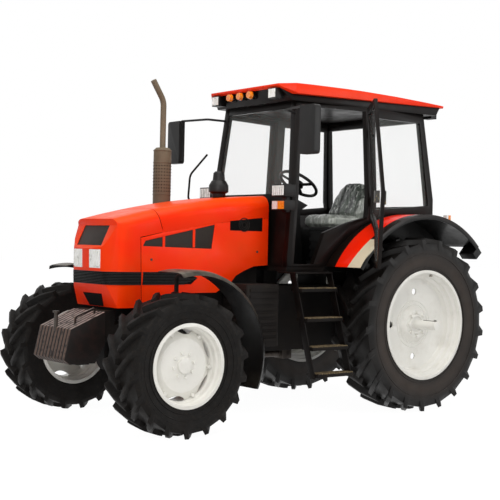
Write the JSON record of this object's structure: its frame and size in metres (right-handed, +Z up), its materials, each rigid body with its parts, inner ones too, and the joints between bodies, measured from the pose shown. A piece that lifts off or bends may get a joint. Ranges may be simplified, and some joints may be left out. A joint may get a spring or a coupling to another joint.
{
  "type": "farm tractor",
  "caption": "Four-wheel-drive farm tractor with cab, sloping hood, front weights, open left door, steering front wheels and rear linkage.",
  "frame": {"origin": "on the ground on the mid-plane, straight below the rear axle", "axes": "+X forward, +Y to the tractor's left, +Z up"},
  "size_m": [4.483, 2.657, 3.1052],
  "materials": {
    "red_paint": "gloss",
    "roof_red": "gloss",
    "black_paint": "satin",
    "cast_grey": "matt, dusty",
    "wheel_white": "semi-gloss",
    "tyre_rubber": "matt, dusty",
    "weight_iron": "worn edges",
    "exhaust_grey": "satin",
    "grille_black": "matt",
    "lamp_lens": "clear",
    "tank_grey": "matt",
    "window_glass": "clear",
    "seat_cover": "under clear film",
    "trim_black": "satin",
    "link_steel": "worn",
    "tail_red": "gloss"
  },
  "bodies": {
    "chassis": {"air_precleaner": "trim_black", "battery_box": "tank_grey", "cab_ends": "black_paint", "cab_floor": "black_paint", "cab_glass": "window_glass", "cab_sides": "black_paint", "dashboard": "trim_black", "drawbar": "link_steel", "drive_shaft": "link_steel", "engine": "cast_grey", "exhaust": "exhaust_grey", "front_axle": "cast_grey", "front_frame": "cast_grey", "front_weights": "weight_iron", "fuel_tank": "tank_grey", "gearbox": "cast_grey", "hood_frame": "black_paint", "hood_top": "red_paint", "ladders": "black_paint", "mirrors": "trim_black", "radiator": "grille_black", "rear_axle": "cast_grey", "rear_fenders": "red_paint", "roof_cap": "roof_red", "roof_fascia": "black_paint", "seat": "seat_cover", "side_grilles": "grille_black", "side_panel_left": "red_paint", "side_panel_right": "red_paint", "tail_lamps": "tail_red", "work_lamps": "lamp_lens"},
    "knuckle_left": {"knuckle_left": "cast_grey", "front_fender_left": "black_paint"},
    "knuckle_right": {"knuckle_right": "cast_grey", "front_fender_right": "black_paint"},
    "front_wheel_left": {"front_tyre_left": "tyre_rubber", "front_rim_left": "wheel_white"},
    "front_wheel_right": {"front_tyre_right": "tyre_rubber", "front_rim_right": "wheel_white"},
    "rear_wheel_left": {"rear_tyre_left": "tyre_rubber", "rear_rim_left": "wheel_white"},
    "rear_wheel_right": {"rear_tyre_right": "tyre_rubber", "rear_rim_right": "wheel_white"},
    "nose": {"nose_cowl": "red_paint", "nose_grille": "grille_black", "nose_lamps": "lamp_lens"},
    "left_door": {"door_left": "black_paint", "door_glass_left": "window_glass"},
    "right_door": {"door_right": "black_paint", "door_glass_right": "window_glass"},
    "hand_wheel": {"steering_wheel": "trim_black"},
    "lower_links": {"lower_links": "link_steel"},
    "lift_arms": {"lift_arms": "link_steel"},
    "lift_rods": {"lift_rods": "link_steel"},
    "top_link": {"top_link": "link_steel"}
  },
  "joints": [
    {"name": "steer_left", "type": "hinge", "parent": "chassis", "child": "knuckle_left", "pos_m": [2.76, 0.69, 0.586], "axis": [0, 0, 1], "range_deg": [-40, 40]},
    {"name": "steer_right", "type": "hinge", "parent": "chassis", "child": "knuckle_right", "pos_m": [2.76, -0.69, 0.586], "axis": [0, 0, 1], "range_deg": [-40, 40]},
    {"name": "front_wheel_left_spin", "type": "hinge", "parent": "knuckle_left", "child": "front_wheel_left", "pos_m": [2.76, 0.912, 0.586], "axis": [0, 1, 0], "continuous": true},
    {"name": "front_wheel_right_spin", "type": "hinge", "parent": "knuckle_right", "child": "front_wheel_right", "pos_m": [2.76, -0.912, 0.586], "axis": [0, 1, 0], "continuous": true},
    {"name": "rear_wheel_left_spin", "type": "hinge", "parent": "chassis", "child": "rear_wheel_left", "pos_m": [0, 0.872, 0.834], "axis": [0, 1, 0], "continuous": true},
    {"name": "rear_wheel_right_spin", "type": "hinge", "parent": "chassis", "child": "rear_wheel_right", "pos_m": [0, -0.872, 0.834], "axis": [0, 1, 0], "continuous": true},
    {"name": "nose_lift", "type": "hinge", "parent": "chassis", "child": "nose", "pos_m": [2.54, 0, 1.835], "axis": [0, -1, 0], "range_deg": [0, 60]},
    {"name": "left_door_swing", "type": "hinge", "parent": "chassis", "child": "left_door", "pos_m": [0.424, 0.762, 1.366], "axis": [0, 0, 1], "range_deg": [-60, 0]},
    {"name": "right_door_swing", "type": "hinge", "parent": "chassis", "child": "right_door", "pos_m": [0.424, -0.762, 1.366], "axis": [0, 0, -1], "range_deg": [0, 60]},
    {"name": "hand_wheel_turn", "type": "hinge", "parent": "chassis", "child": "hand_wheel", "pos_m": [0.706, 0, 2.178], "axis": [-0.5736, 0, 0.8191], "continuous": true},
    {"name": "lower_link_lift", "type": "hinge", "parent": "chassis", "child": "lower_links", "pos_m": [-0.12, 0, 0.5], "axis": [0, 1, 0], "range_deg": [-8, 22]},
    {"name": "lift_arm_turn", "type": "hinge", "parent": "chassis", "child": "lift_arms", "pos_m": [-0.25, 0, 1.06], "axis": [0, 1, 0], "range_deg": [-12, 32]},
    {"name": "lift_rod_turn", "type": "hinge", "parent": "lift_arms", "child": "lift_rods", "pos_m": [-0.58, 0, 1.03], "axis": [0, 1, 0], "range_deg": [-34, 14]},
    {"name": "top_link_swing", "type": "hinge", "parent": "chassis", "child": "top_link", "pos_m": [-0.39, 0, 0.985], "axis": [0, 1, 0], "range_deg": [-10, 45]}
  ],
  "couplings": [
    {"joint": "steer_right", "follows": "steer_left", "ratio": 1},
    {"joint": "lift_arm_turn", "follows": "lower_link_lift", "ratio": 1.4},
    {"joint": "lift_rod_turn", "follows": "lower_link_lift", "ratio": -1.4}
  ]
}
